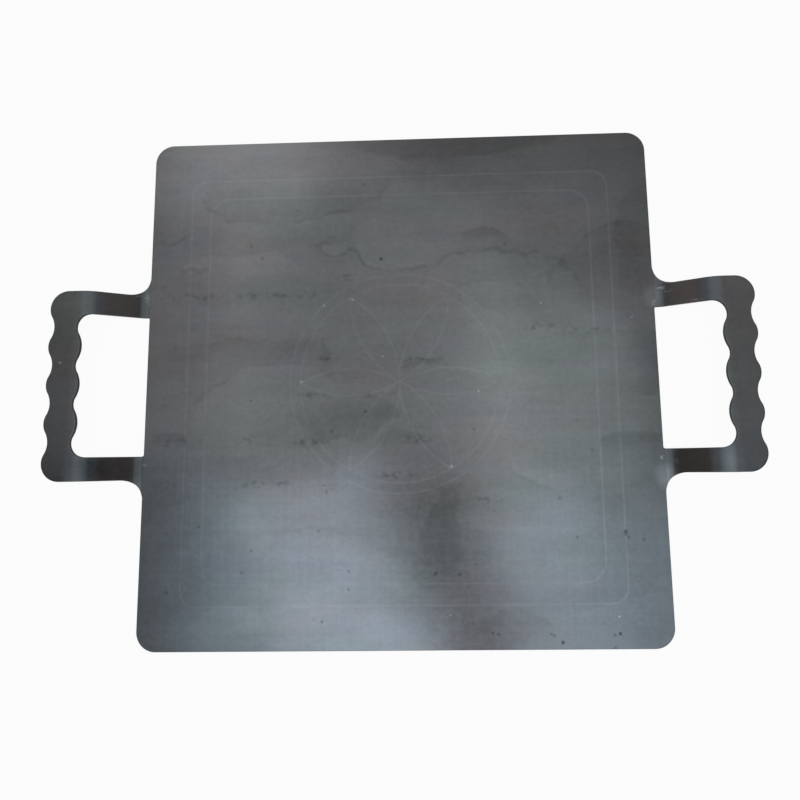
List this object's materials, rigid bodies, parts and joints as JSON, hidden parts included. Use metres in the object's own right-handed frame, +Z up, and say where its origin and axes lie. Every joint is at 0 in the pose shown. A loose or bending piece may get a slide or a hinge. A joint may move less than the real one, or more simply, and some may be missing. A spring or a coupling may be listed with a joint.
{
  "type": "camp griddle plate",
  "caption": "Square sheet-steel griddle plate with an engraved border and rosette and upturned, finger-grooved side handles, for cooking over a camp fire or burner.",
  "frame": {"origin": "centre of the plate's flat underside, on the surface that it rests on", "axes": "+X along the line through the handles, to the right; +Y to the rear, along the plate's other side; +Z up"},
  "size_m": [0.5364, 0.4, 0.0245],
  "materials": {
    "mill_scale_steel": "dark blue-grey hot-rolled mill scale, satin"
  },
  "bodies": {
    "root": {"cooking_plate": "mill_scale_steel", "left_front_arm": "mill_scale_steel", "left_rear_arm": "mill_scale_steel", "left_grip": "mill_scale_steel", "right_front_arm": "mill_scale_steel", "right_rear_arm": "mill_scale_steel", "right_grip": "mill_scale_steel"}
  },
  "joints": []
}
